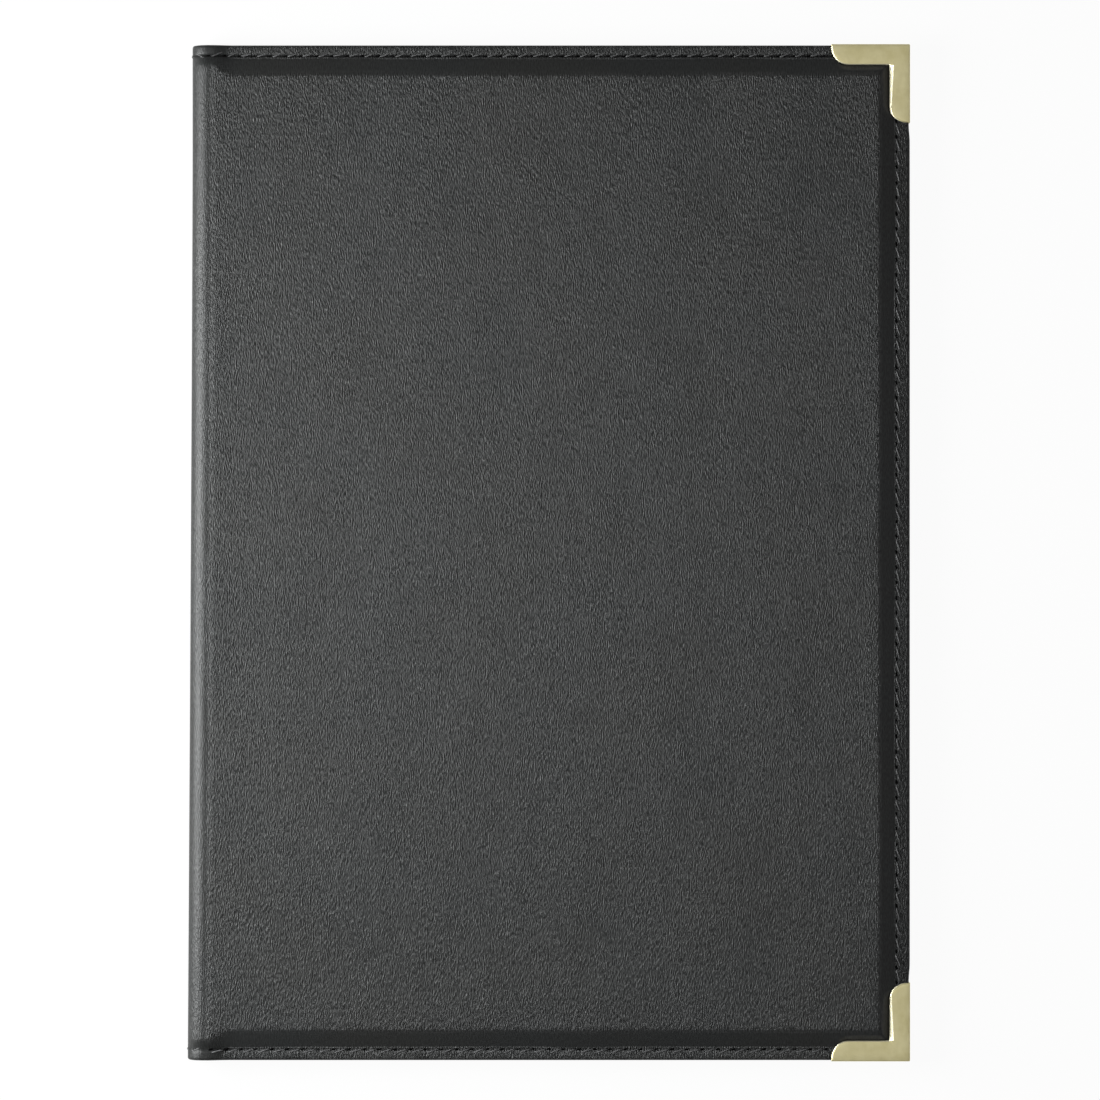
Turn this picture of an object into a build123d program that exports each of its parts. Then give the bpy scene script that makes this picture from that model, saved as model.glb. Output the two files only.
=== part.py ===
from build123d import *
from math import atan, degrees
import os

os.makedirs("parts", exist_ok=True)

# Outside size of the closed cover, without its metal corners
cover_width = 233.0
cover_height = 330.0

# Layers of one cover, from the inside to the outside
closing_clearance = 0.3
corner_sheet = 0.35
border_thickness = 0.5
film_thickness = 0.2
lining_thickness = 0.4
board_thickness = 1.6
foam_thickness = 1.5
skin_thickness = 0.8
glue_line = 0.05

# Padded panel: where its slope starts, how wide the slope is, and its rounded shoulder
slope_foot = 4.8
slope_run = 4.4
shoulder_radius = 4.0
board_inset = 7.6
board_setback = 1.5
foam_bevel = 2.0

# Seam round the three open sides
seam_side = 4.0
seam_end = 3.5
stitch_pitch = 5.0
stitch_length = 4.1
thread_width = 0.6
thread_proud_outside = 0.15
thread_proud_inside = 0.25
groove_width = 0.9
groove_depth = 0.25

# Clear pocket on the inside of each cover
border_width = 14.0
window_radius = 3.0
mouth_setback = 8.0
binding_width = 8.0
film_edge_setback = 1.0
border_setback = 0.5

# Folded metal corners
corner_leg = 25.5
corner_width = 6.8
corner_end_radius = 5.6
corner_bend_radius = 0.45
corner_bevel_width = 1.2
corner_bevel_depth = 0.2
corner_clearance = 0.15

# Rolled spine, as strips that fold against each other
strip_names = ["upper", "middle", "lower"]
strip_gap_angle = 0.5
spine_stitch_angle = 40.0

# Levels, measured outwards from the plane between the two covers
border_level = corner_sheet + closing_clearance / 2
film_level = border_level + border_thickness
lining_level = film_level + film_thickness
board_level = lining_level + lining_thickness
foam_level = board_level + board_thickness
hem_top = board_level + 2 * skin_thickness
roll_radius = foam_level + foam_thickness + skin_thickness

# Places in the plane of the cover. The origin is below the middle of the closed cover.
left_x = -(cover_width + corner_sheet) / 2
hinge_x = left_x + roll_radius
edge_x = left_x + cover_width
edge_y = cover_height / 2
mouth_x = hinge_x + mouth_setback
overrun = 4 * roll_radius

slope_angle = degrees(atan(slope_run / (roll_radius - hem_top)))
foam_angle = degrees(atan(foam_bevel / foam_thickness))

# Stitches that show between the metal corners, and between the spine and a corner
side_run = 2 * (edge_y + corner_sheet - corner_leg - corner_clearance)
end_run = edge_x + corner_sheet - corner_leg - corner_clearance - hinge_x
side_count = int((side_run - stitch_length) / stitch_pitch) + 1
end_count = int(end_run / stitch_pitch)


def cover_plane(outward):
    # Z runs from between the covers to the outside, so that one recipe makes both covers
    return Plane(origin=(0, 0, roll_radius), x_dir=(1, 0, 0), z_dir=(0, 0, outward))


def sheet_outline(left, side_inset, end_inset, mode=Mode.ADD):
    # Rectangle from a line near the spine to an inset from the three sewn edges
    right = edge_x - side_inset
    with Locations(((left + right) / 2, 0)):
        Rectangle(right - left, 2 * (edge_y - end_inset), mode=mode)


def corner_outline(end, grow=0.0):
    # L-shaped outline of a metal corner at one end of the outer edge, both legs rounded off
    point_x = edge_x + corner_sheet
    point_y = edge_y + corner_sheet
    leg = corner_leg + grow
    width = corner_width + grow
    with BuildSketch(Plane.XY) as outline:
        with BuildLine():
            FilletPolyline(
                (point_x, end * point_y),
                (point_x - leg, end * point_y),
                (point_x - leg, end * (point_y - width)),
                (point_x - width, end * (point_y - width)),
                (point_x - width, end * (point_y - leg)),
                (point_x, end * (point_y - leg)),
                radius=[0, 0, corner_end_radius, 0, corner_end_radius, 0],
                close=True,
            )
        make_face()
    return outline.sketch


def make_skin(plane):
    outward = Axis(plane.origin, plane.z_dir)
    with BuildPart() as skin:
        # Padded panel, run on past the spine and cut there, so that it slopes on three sides
        with BuildSketch(plane.offset(hem_top)):
            sheet_outline(hinge_x - overrun, slope_foot, slope_foot)
        extrude(amount=roll_radius - hem_top, taper=slope_angle)
        fillet(skin.edges().group_by(outward)[-1], radius=shoulder_radius)
        # Turned-in hem, two skins thick
        with BuildSketch(plane.offset(board_level)):
            sheet_outline(hinge_x - overrun, 0, 0)
        extrude(amount=hem_top - board_level)
        # Room for the board and the bevelled padding
        with BuildSketch(plane.offset(board_level)):
            sheet_outline(hinge_x - 2 * overrun, board_inset, board_inset)
        extrude(amount=board_thickness, mode=Mode.SUBTRACT)
        with BuildSketch(plane.offset(foam_level)):
            sheet_outline(hinge_x - 2 * overrun, board_inset, board_inset)
        extrude(amount=foam_thickness, taper=foam_angle, mode=Mode.SUBTRACT)
        split(bisect_by=Plane.YZ.offset(hinge_x), keep=Keep.TOP)
        # Groove that the seam pulls into the hem
        with BuildSketch(plane.offset(hem_top)):
            sheet_outline(hinge_x - overrun, seam_side - groove_width / 2, seam_end - groove_width / 2)
            sheet_outline(
                hinge_x - 2 * overrun,
                seam_side + groove_width / 2,
                seam_end + groove_width / 2,
                mode=Mode.SUBTRACT,
            )
        extrude(amount=-groove_depth, mode=Mode.SUBTRACT)
        # The metal corners press the foot of the slope down
        for end in (1, -1):
            with BuildSketch(plane.offset(hem_top)):
                add(corner_outline(end, corner_clearance))
            extrude(amount=roll_radius - hem_top, mode=Mode.SUBTRACT)
    return skin.part


def make_foam_pad(plane):
    with BuildPart() as pad:
        with BuildSketch(plane.offset(foam_level)):
            sheet_outline(hinge_x - overrun, board_inset, board_inset)
        extrude(amount=foam_thickness, taper=foam_angle)
        split(bisect_by=Plane.YZ.offset(hinge_x + board_setback), keep=Keep.TOP)
    return pad.part


def make_board(plane):
    with BuildPart() as board:
        with BuildSketch(plane.offset(board_level)):
            sheet_outline(hinge_x + board_setback, board_inset, board_inset)
        extrude(amount=board_thickness)
    return board.part


def make_lining(plane):
    with BuildPart() as lining:
        with BuildSketch(plane.offset(lining_level)):
            sheet_outline(hinge_x, 0, 0)
        extrude(amount=lining_thickness)
    return lining.part


def make_pocket_film(plane):
    with BuildPart() as film:
        with BuildSketch(plane.offset(film_level)):
            sheet_outline(mouth_x, film_edge_setback, film_edge_setback)
        extrude(amount=film_thickness)
    return film.part


def make_pocket_border(plane):
    outward = Axis(plane.origin, plane.z_dir)
    with BuildPart() as border:
        with BuildSketch(plane.offset(border_level)):
            sheet_outline(hinge_x + border_setback, 0, 0)
            sheet_outline(hinge_x - overrun, border_width, border_width, mode=Mode.SUBTRACT)
        extrude(amount=border_thickness)
        window_corners = border.edges().filter_by(outward).group_by(Axis.X)[-2]
        fillet(window_corners, radius=window_radius)
    return border.part


def make_pocket_binding(plane):
    with BuildPart() as binding:
        with BuildSketch(plane.offset(border_level)):
            with Locations((mouth_x + binding_width / 2, 0)):
                Rectangle(binding_width, 2 * (edge_y - border_width))
        extrude(amount=border_thickness)
    return binding.part


def stitch_rows():
    # One row along the outer edge, and one along each end that starts at the spine
    with Locations((edge_x - seam_side, 0)):
        with GridLocations(0, stitch_pitch, 1, side_count):
            Rectangle(thread_width, stitch_length)
    for end in (1, -1):
        with Locations((hinge_x + end_count * stitch_pitch / 2, end * (edge_y - seam_end))):
            with GridLocations(stitch_pitch, 0, end_count, 1):
                Rectangle(stitch_length, thread_width)


def make_stitching(plane):
    with BuildPart() as stitching:
        with BuildSketch(plane.offset(hem_top - groove_depth)):
            stitch_rows()
        extrude(amount=groove_depth + thread_proud_outside)
        with BuildSketch(plane.offset(border_level)):
            stitch_rows()
        extrude(amount=-thread_proud_inside)
    return stitching.part


def past_end(edge):
    return abs(edge.center().Y) > edge_y


def make_metal_corner(plane, end):
    outward = Axis(plane.origin, plane.z_dir)
    inner_face = border_level - corner_sheet
    outer_face = hem_top + corner_sheet
    with BuildPart() as corner:
        with BuildSketch(plane.offset(inner_face)):
            add(corner_outline(end))
        extrude(amount=outer_face - inner_face)
        # Outside of the two folds, and of the point where they meet
        outer_edges = corner.edges().filter_by(lambda edge: edge.center().X > edge_x or past_end(edge))
        folds = outer_edges.filter_by(outward, reverse=True)
        point = outer_edges.filter_by(outward).filter_by(past_end).sort_by(Axis.X)[-1:]
        fillet(folds + point, radius=corner_bend_radius)
        # Slot for the edge of the cover
        with BuildSketch(plane.offset(border_level)):
            with Locations((edge_x - corner_leg, end * (edge_y - corner_leg))):
                Rectangle(2 * corner_leg, 2 * corner_leg)
        extrude(amount=hem_top - border_level, mode=Mode.SUBTRACT)
        # Bevel along the inner edge of the plate that shows
        plate = corner.faces().sort_by(outward)[-1]
        inner_edges = plate.edges().filter_by(
            lambda edge: min(edge_x - edge.center().X, edge_y - abs(edge.center().Y)) > corner_width / 2
        )
        chamfer(inner_edges, corner_bevel_width, corner_bevel_depth, reference=plate)
    return corner.part


def band_outline(depth, thickness, end_radius, start, sweep):
    # Section of a band wrapped round the spine, its outside at a depth below the roll's own outside
    centre = (hinge_x, roll_radius)
    across = roll_radius - depth
    upward = end_radius - depth
    with BuildSketch(Plane.XY) as outline:
        with BuildLine():
            outside = EllipticalCenterArc(centre, across, upward, start_angle=start, arc_size=sweep)
            inside = EllipticalCenterArc(
                centre, across - thickness, upward - thickness, start_angle=start, arc_size=sweep
            )
            Line(outside @ 0, inside @ 0)
            Line(outside @ 1, inside @ 1)
        make_face()
    return outline.sketch


def make_spine_band(index, depth, thickness):
    # The roll is round along the padding and pinched flatter where the ends are sewn
    step = 180 / len(strip_names)
    start = 90 + index * step + strip_gap_angle
    sweep = step - 2 * strip_gap_angle
    sewn_from = edge_y - slope_foot
    round_to = sewn_from - slope_run
    stations = [
        (-edge_y, hem_top),
        (-sewn_from, hem_top),
        (-round_to, roll_radius),
        (round_to, roll_radius),
        (sewn_from, hem_top),
        (edge_y, hem_top),
    ]
    with BuildPart() as band:
        for place, height in stations:
            with BuildSketch(Plane.XZ.offset(-place)):
                add(band_outline(depth, thickness, height, start, sweep))
        loft(ruled=True)
    return band.part


def make_spine_stitches(index):
    step = 180 / len(strip_names)
    start = 90 + (index + 0.5) * step - spine_stitch_angle / 2
    outside_depth = -thread_proud_outside - glue_line
    inside_depth = skin_thickness + lining_thickness + 2 * glue_line
    with BuildPart() as stitches:
        for end in (1, -1):
            row = end * (edge_y - seam_end) + thread_width / 2
            with BuildSketch(Plane.XZ.offset(-row)):
                add(band_outline(outside_depth, thread_proud_outside, hem_top, start, spine_stitch_angle))
                add(band_outline(inside_depth, thread_proud_inside, hem_top, start, spine_stitch_angle))
            extrude(amount=thread_width)
    return stitches.part


covers = {"front": cover_plane(1), "back": cover_plane(-1)}

for cover_name, plane in covers.items():
    # The back cover's plane is turned over, so its own +Y end is the cover's lower end
    top_end = 1 if cover_name == "front" else -1
    pieces = {
        "skin": make_skin(plane),
        "foam_pad": make_foam_pad(plane),
        "board": make_board(plane),
        "lining": make_lining(plane),
        "pocket_film": make_pocket_film(plane),
        "pocket_border": make_pocket_border(plane),
        "pocket_binding": make_pocket_binding(plane),
        "stitching": make_stitching(plane),
        "corner_top": make_metal_corner(plane, top_end),
        "corner_bottom": make_metal_corner(plane, -top_end),
    }
    for piece_name, piece in pieces.items():
        node = cover_name + "_" + piece_name
        piece.label = node
        export_step(piece, "parts/" + node + ".step")

for index, strip_name in enumerate(strip_names):
    pieces = {
        "spine_skin_": make_spine_band(index, 0, skin_thickness),
        "spine_lining_": make_spine_band(index, skin_thickness + glue_line, lining_thickness),
        "spine_stitches_": make_spine_stitches(index),
    }
    for piece_name, piece in pieces.items():
        node = piece_name + strip_name
        piece.label = node
        export_step(piece, "parts/" + node + ".step")
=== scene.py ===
import math
import random

import bmesh
import bpy
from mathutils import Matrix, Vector, noise


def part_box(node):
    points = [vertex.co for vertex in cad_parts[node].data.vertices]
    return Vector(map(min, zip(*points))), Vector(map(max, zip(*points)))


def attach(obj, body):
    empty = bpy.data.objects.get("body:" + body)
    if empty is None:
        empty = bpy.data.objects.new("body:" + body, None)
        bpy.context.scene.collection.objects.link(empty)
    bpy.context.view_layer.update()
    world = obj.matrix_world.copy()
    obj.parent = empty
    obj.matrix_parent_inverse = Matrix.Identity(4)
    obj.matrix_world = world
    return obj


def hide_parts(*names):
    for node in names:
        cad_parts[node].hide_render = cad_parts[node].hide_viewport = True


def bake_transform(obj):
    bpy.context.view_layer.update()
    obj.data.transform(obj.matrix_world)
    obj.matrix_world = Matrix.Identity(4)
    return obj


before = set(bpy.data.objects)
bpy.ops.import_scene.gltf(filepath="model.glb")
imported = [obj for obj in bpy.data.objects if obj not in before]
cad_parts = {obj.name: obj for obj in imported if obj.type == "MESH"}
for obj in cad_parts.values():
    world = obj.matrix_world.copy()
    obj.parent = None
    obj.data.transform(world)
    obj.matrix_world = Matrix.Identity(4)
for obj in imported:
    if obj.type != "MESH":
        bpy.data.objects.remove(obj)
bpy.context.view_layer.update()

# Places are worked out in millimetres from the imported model, and meshes are written in metres
mm = 0.001
skinLow, skinHigh = (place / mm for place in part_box("front_skin"))
plateLow, plateHigh = (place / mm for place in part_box("front_corner_top"))
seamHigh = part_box("front_stitching")[1] / mm
hingeX, edgeX, edgeY = skinLow.x, skinHigh.x, skinHigh.y
midZ = rollRadius = skinHigh.z / 2  # the plane between the covers is halfway up
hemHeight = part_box("front_foam_pad")[0].z / mm - midZ
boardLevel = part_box("front_board")[0].z / mm - midZ
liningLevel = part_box("front_lining")[0].z / mm - midZ
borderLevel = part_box("front_pocket_border")[0].z / mm - midZ
rollLength = math.pi * rollRadius  # outside of the spine, laid flat
panelWidth = edgeX - hingeX


def between(first, second, share):
    return first + (second - first) * share


def smooth(value):
    value = min(1.0, max(0.0, value))
    return value * value * (3 - 2 * value)


def spread(start, stop, step):
    # Evenly spaced places from start to stop, no further apart than step
    count = max(1, math.ceil(abs(stop - start) / step - 1e-6))
    return [start + (stop - start) * i / count for i in range(count + 1)]


def finishPiece(form, name, material, body=None, nodes=()):
    # Writes a bmesh into a smooth-shaded object that rides on a body and stands for CAD nodes
    mesh = bpy.data.meshes.new(name)
    for face in form.faces:
        face.smooth = True
    for edge in form.edges:
        edge.smooth = len(edge.link_faces) == 2 and edge.calc_face_angle() < math.radians(45)
    form.to_mesh(mesh)
    form.free()
    mesh.materials.append(material)
    piece = bpy.data.objects.new(name, mesh)
    bpy.context.scene.collection.objects.link(piece)
    if body:
        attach(piece, body)
    if nodes:
        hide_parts(*nodes)
    return piece


def addWall(piece, thickness):
    # Gives a sheet its thickness, on the side away from its normals
    wall = piece.modifiers.new("wall", "SOLIDIFY")
    wall.thickness = thickness * mm
    wall.offset = -1
    return wall


# Shader helpers
def newMaterial(name):
    made = bpy.data.materials.new(name)
    made.use_nodes = True
    return made, made.node_tree, made.node_tree.nodes["Principled BSDF"]


def addNode(tree, kind, inputs=None, **settings):
    # One shader node; an input is a value or another node's output
    made = tree.nodes.new(kind)
    for name, value in settings.items():
        setattr(made, name, value)
    for name, value in (inputs or {}).items():
        if isinstance(value, bpy.types.NodeSocket):
            tree.links.new(value, made.inputs[name])
        else:
            made.inputs[name].default_value = value
    return made


def objectPlace(tree):
    return addNode(tree, "ShaderNodeTexCoord").outputs["Object"]


def attribute(tree, name):
    return addNode(tree, "ShaderNodeAttribute", attribute_name=name).outputs["Fac"]


def mottled(tree, vector, scale, detail, **more):
    # Soft noise, mostly between 0.3 and 0.7
    inputs = {"Vector": vector, "Scale": scale, "Detail": detail, **more}
    return addNode(tree, "ShaderNodeTexNoise", inputs).outputs["Fac"]


def scaled(tree, vector, factors):
    return addNode(tree, "ShaderNodeVectorMath", {0: vector, 1: factors}, operation="MULTIPLY").outputs[0]


def drawnOut(tree, vector, size):
    # For a pattern whose features have this width and length in millimetres
    return scaled(tree, vector, (1 / (size[0] * mm), 1 / (size[1] * mm), 1.0))


def bent(tree, vector, scale, amount):
    # Pushes a vector about by soft noise, so that a pattern drifts instead of running straight
    wander = addNode(tree, "ShaderNodeTexNoise", {"Vector": vector, "Scale": scale, "Detail": 1.0})
    centred = addNode(tree, "ShaderNodeVectorMath", {0: wander.outputs["Color"], 1: (0.5, 0.5, 0.5)},
                      operation="SUBTRACT").outputs[0]
    return addNode(tree, "ShaderNodeVectorMath", {0: centred, 1: (amount, amount, amount), 2: vector},
                   operation="MULTIPLY_ADD").outputs[0]


def fitted(tree, value, low, high, newLow, newHigh):
    return addNode(tree, "ShaderNodeMapRange",
                   {"Value": value, "From Min": low, "From Max": high, "To Min": newLow, "To Max": newHigh},
                   ).outputs[0]


def calc(tree, operation, first, second):
    return addNode(tree, "ShaderNodeMath", {0: first, 1: second}, operation=operation).outputs[0]


def cells(tree, vector, size, edge):
    # Nought on the edges of drawn-out cells, one inside them
    distance = addNode(tree, "ShaderNodeTexVoronoi", {"Vector": drawnOut(tree, vector, size), "Scale": 1.0},
                       feature="DISTANCE_TO_EDGE").outputs["Distance"]
    return fitted(tree, distance, 0.0, edge, 0.0, 1.0)


def emboss(tree, surface, height, depth):
    bump = addNode(tree, "ShaderNodeBump", {"Height": height, "Strength": 1.0, "Distance": depth * mm})
    tree.links.new(bump.outputs[0], surface.inputs["Normal"])


def tinted(tree, share, first, second):
    mix = addNode(tree, "ShaderNodeMix", data_type="RGBA")
    tree.links.new(share, mix.inputs[0])
    for socket, colour in ((mix.inputs[6], first), (mix.inputs[7], second)):
        if isinstance(colour, bpy.types.NodeSocket):
            tree.links.new(colour, socket)
        else:
            socket.default_value = (*colour, 1.0)
    return mix.outputs[2]


# Leatherette: sizes of the grain are a width and a length in millimetres
leather = {
    "dark": (0.0048, 0.0052, 0.0050),
    "light": (0.0220, 0.0232, 0.0226),
    "warm": (0.0163, 0.0157, 0.0144),
    "cool": (0.0142, 0.0157, 0.0165),
    "shadeAndDull": (0.004, 0.004, 0.004),
    "hueShare": 0.3, "shadeAndDullShare": 0.8,
    "roughness": 0.52, "roughSpread": 0.05,
    "specular": 0.40, "cavity": 0.13,
    "sheen": 0.08,
    "streak": (0.37, 1.4), "bend": 0.00035,
    "pebble": (0.70, 1.9), "pebbleShare": 0.03,
    "crease": (9.0, 34.0), "creaseBend": 0.016, "creaseShare": 0.022,
    "bump": 0.85,
}


def makeLeather(name, tune):
    made, tree, surface = newMaterial(name)
    flat = addNode(tree, "ShaderNodeUVMap", uv_map="flat").outputs[0]
    grain = attribute(tree, "grain")
    groove = attribute(tree, "groove")
    # The grain's height: fine streaks over faint pebbles, stronger in some patches, and a few long creases
    drifting = bent(tree, flat, 55.0, tune["bend"] * 3)
    streaks = mottled(tree, drawnOut(tree, drifting, tune["streak"]), 1.0, 1.0, Roughness=0.5, Distortion=0.1)
    pebbles = cells(tree, bent(tree, drifting, 420.0, tune["bend"]), tune["pebble"], 0.22)
    creases = cells(tree, bent(tree, flat, 60.0, tune["creaseBend"]), tune["crease"], 0.045)
    patches = mottled(tree, scaled(tree, flat, (1.0, 0.45, 1.0)), 48.0, 3.0)
    fine = calc(tree, "ADD", streaks, calc(tree, "MULTIPLY", pebbles, tune["pebbleShare"]))
    fine = calc(tree, "MULTIPLY", fine, fitted(tree, patches, 0.35, 0.65, 0.55, 1.0))
    height = calc(tree, "ADD", fine, calc(tree, "MULTIPLY", creases, tune["creaseShare"]))
    emboss(tree, surface, calc(tree, "MULTIPLY", height, grain), tune["bump"])
    # Colour follows the streaks and drifts a little in hue; in the seam's grooves it goes near black as
    # painted shade, and the margins outside the padding are darker
    tone = tinted(tree, fitted(tree, streaks, 0.33, 0.67, 0.0, 1.0), tune["dark"], tune["light"])
    drift = fitted(tree, mottled(tree, flat, 24.0, 2.0), 0.38, 0.62, 0.0, 1.0)
    hue = tinted(tree, drift, tune["warm"], tune["cool"])
    mixed = addNode(tree, "ShaderNodeMix", {0: tune["hueShare"], 6: tone, 7: hue}, data_type="RGBA")
    # Painted shade: the groove share darkens the colour towards near black
    shadeAndDull = tinted(tree, calc(tree, "MULTIPLY", groove, tune["shadeAndDullShare"]), mixed.outputs[2], tune["shadeAndDull"])
    tree.links.new(shadeAndDull, surface.inputs["Base Color"])
    # The bottoms of the grain reflect less than the tops, and the seam's grooves reflect less as painted
    # shade
    shine = calc(tree, "MULTIPLY", fitted(tree, streaks, 0.3, 0.7, -tune["cavity"], tune["cavity"]), grain)
    shine = calc(tree, "ADD", shine, tune["specular"])
    shine = calc(tree, "MULTIPLY", shine, fitted(tree, groove, 0.0, 1.0, 1.0, 0.24))
    tree.links.new(shine, surface.inputs["Specular IOR Level"])
    # Where the grain is pressed flat, the leatherette shines a little more
    roughest, smoothest = (tune["roughness"] + way * tune["roughSpread"] for way in (1, -1))
    rough = fitted(tree, streaks, 0.3, 0.7, roughest, smoothest)
    pressed = fitted(tree, grain, 0.3, 1.0, tune["sheen"], 0.0)
    tree.links.new(calc(tree, "SUBTRACT", rough, pressed), surface.inputs["Roughness"])
    return made


coverLeather = makeLeather("coverLeatherette", leather)

brass = {
    "pale": (0.77, 0.70, 0.41), "deep": (0.67, 0.60, 0.32), "rim": (0.84, 0.79, 0.58),
    "roughness": 0.42, "dents": 0.03,
}


def makeBrass(tune):
    made, tree, surface = newMaterial("paleBrass")
    place = objectPlace(tree)
    clouds = mottled(tree, place, 260.0, 4.0)
    plain = tinted(tree, fitted(tree, clouds, 0.3, 0.7, 0.0, 1.0), tune["deep"], tune["pale"])
    # The pressed rim is paler: partly a polished edge, partly a painted highlight
    tree.links.new(tinted(tree, attribute(tree, "rim"), plain, tune["rim"]), surface.inputs["Base Color"])
    rubbed = mottled(tree, scaled(tree, place, (1.0, 0.12, 1.0)), 2600.0, 3.0)
    tree.links.new(fitted(tree, rubbed, 0.3, 0.7, tune["roughness"] - 0.05, tune["roughness"] + 0.07),
                   surface.inputs["Roughness"])
    emboss(tree, surface, clouds, tune["dents"])
    surface.inputs["Metallic"].default_value = 1.0
    return made


brassMaterial = makeBrass(brass)


def makeSimple(name, low, high, scale, roughness, bumpHeight=0.0, specular=0.5):
    # A plain finish with a fine mottle, for what is inside or small
    made, tree, surface = newMaterial(name)
    mottle = mottled(tree, objectPlace(tree), scale, 4.0)
    colour = tinted(tree, fitted(tree, mottle, 0.3, 0.7, 0.0, 1.0), low, high)
    tree.links.new(colour, surface.inputs["Base Color"])
    surface.inputs["Roughness"].default_value = roughness
    surface.inputs["Specular IOR Level"].default_value = specular
    if bumpHeight:
        emboss(tree, surface, mottle, bumpHeight)
    return made


# Each has its darkest and lightest colour, the scale of its mottle, its roughness and how deep its bumps are
threadMaterial = makeSimple("charcoalThread", (0.034, 0.034, 0.034), (0.122, 0.122, 0.125), 3000.0, 0.5, 0.05)
# Needle holes are near-black beads that stand for the painted shade in the holes
holeShadeMaterial = makeSimple("needleHoleShade", (0.001, 0.001, 0.001), (0.003, 0.003, 0.003), 2000.0, 1.0,
                          specular=0.05)
foamMaterial = makeSimple("foam", (0.6, 0.58, 0.5), (0.75, 0.74, 0.68), 1500.0, 0.95, 0.1)
boardMaterial = makeSimple("greyboard", (0.34, 0.32, 0.29), (0.46, 0.44, 0.4), 900.0, 0.9, 0.03)
liningMaterial = makeSimple("lining", (0.012, 0.012, 0.013), (0.03, 0.03, 0.032), 2500.0, 0.8, 0.04)
trimMaterial = makeSimple("trimLeatherette", (0.012, 0.012, 0.0125), (0.026, 0.0265, 0.027), 1600.0, 0.55,
                          0.08)

film = {"colour": (0.95, 0.96, 0.96, 1.0), "roughness": 0.08, "ior": 1.45, "ripple": 0.4, "thickness": 0.16}


def makeFilm(tune):
    made, tree, surface = newMaterial("clearFilm")
    emboss(tree, surface, mottled(tree, objectPlace(tree), 18.0, 2.0), tune["ripple"])
    surface.inputs["Base Color"].default_value = tune["colour"]
    surface.inputs["Roughness"].default_value = tune["roughness"]
    surface.inputs["Transmission Weight"].default_value = 1.0
    surface.inputs["IOR"].default_value = tune["ior"]
    return made


filmMaterial = makeFilm(film)
print("materials made")

# Padded skin: distances in from the three sewn edges, and heights above the plane between the covers
padding = {
    "sideFoot": 4.3, "sideSlopeTo": 8.5, "sideShoulderTo": 10.9,
    "endFoot": 4.0, "endSlopeTo": 8.0, "endShoulderTo": 11.2,
    "rollSlopeTo": 5.6, "rollShoulderTo": 7.4, "rollKept": 0.6,
    "footRound": 0.5, "uneven": 0.2, "wave": 0.07, "smallWave": 0.03,
    "grooveDepth": 0.36, "grooveWidth": 0.42,
    "hemDome": 0.12, "sideLean": 0.3, "edgeSwell": 0.34,
    "upperGroove": 1.0, "lowerGroove": 0.45, "sideGroove": 0.35,
    "upperDull": 0.23, "lowerDull": 0.08, "sideDull": 0.3,
    "edgeBead": 0.14, "edgeBeadAt": 0.95, "edgeBeadWidth": 0.2,
    "nose": (hemHeight - boardLevel) / 2,
    "underlap": 4.0,
    "grainFrom": 0.86, "marginGrain": 0.7, "marginTo": 0.04, "rollGrain": 0.15, "leastGrain": 0.12,
    "besideCorner": 1.1,
    "wall": 0.75,
    # The spine's bulge: where it begins and over what length it grows, and how far onto the panels it fades
    "bulge": 1.42, "bulgeFrom": 130.0, "bulgeOver": 270.0, "bulgeFade": 24.0, "bulgeLeast": 0.1,
}
packedThread = 0.3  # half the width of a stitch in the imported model
seamSide = edgeX - (seamHigh.x - packedThread)
seamEnd = edgeY - (seamHigh.y - packedThread)

# Folded metal corner, by distances in from its point
corner = {
    "leg": plateHigh.x - plateLow.x, "width": 6.8, "endRound": 5.6,
    "sheet": plateHigh.x - edgeX, "bend": 0.38,
    "rimWide": 1.5, "rimEnd": 0.8, "rimThin": 0.32, "rimSlope": 0.64, "rimFade": 2.6, "rimStep": 0.35,
    "clearance": 0.04,
}


def rimWidth(u, v):
    # The edge of the plate is pressed down in a rim, widest on the side leg where the legs meet
    straightTo = corner["leg"] - corner["endRound"]
    narrowing = min(1.0, max(0.0, (v - corner["width"]) / (straightTo - corner["width"])))
    sideRim = between(corner["rimWide"], corner["rimEnd"], narrowing)
    sideRim += (corner["rimThin"] - corner["rimEnd"]) * smooth((v - straightTo) / corner["rimFade"])
    onSide = smooth((v - u) / corner["rimStep"] + 1) * smooth((v - corner["width"]) / corner["rimStep"] + 1)
    return between(corner["rimThin"], sideRim, onSide)


def plateDepth(u, v):
    # How far a place in from the two outer edges lies inside the L-shaped plate, below nought beside it
    across, length = min(u, v), max(u, v)
    roundX = corner["width"] - corner["endRound"]
    roundY = corner["leg"] - corner["endRound"]
    if across > roundX and length > roundY:
        return corner["endRound"] - math.hypot(across - roundX, length - roundY)
    return min(corner["width"] - across, corner["leg"] - length)


def rimDrop(u, v):
    depth = max(0.0, plateDepth(u, v))
    return corner["rimSlope"] * max(0.0, rimWidth(u, v) - depth)


def slopeShare(distance, foot, slopeTo, shoulderTo):
    # Share of the padding's height at a distance from the edge: a slope rounded at foot and shoulder
    soft = padding["footRound"]
    straight = slopeTo - foot - soft / 2
    shoulder = shoulderTo - slopeTo
    total = straight + shoulder / 2
    if distance <= foot:
        return 0.0
    if distance < foot + soft:
        return (distance - foot) ** 2 / (2 * soft) / total
    if distance < slopeTo:
        return (distance - foot - soft / 2) / total
    if distance < shoulderTo:
        past = distance - slopeTo
        return (straight + past - past * past / (2 * shoulder)) / total
    return 1.0


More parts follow.
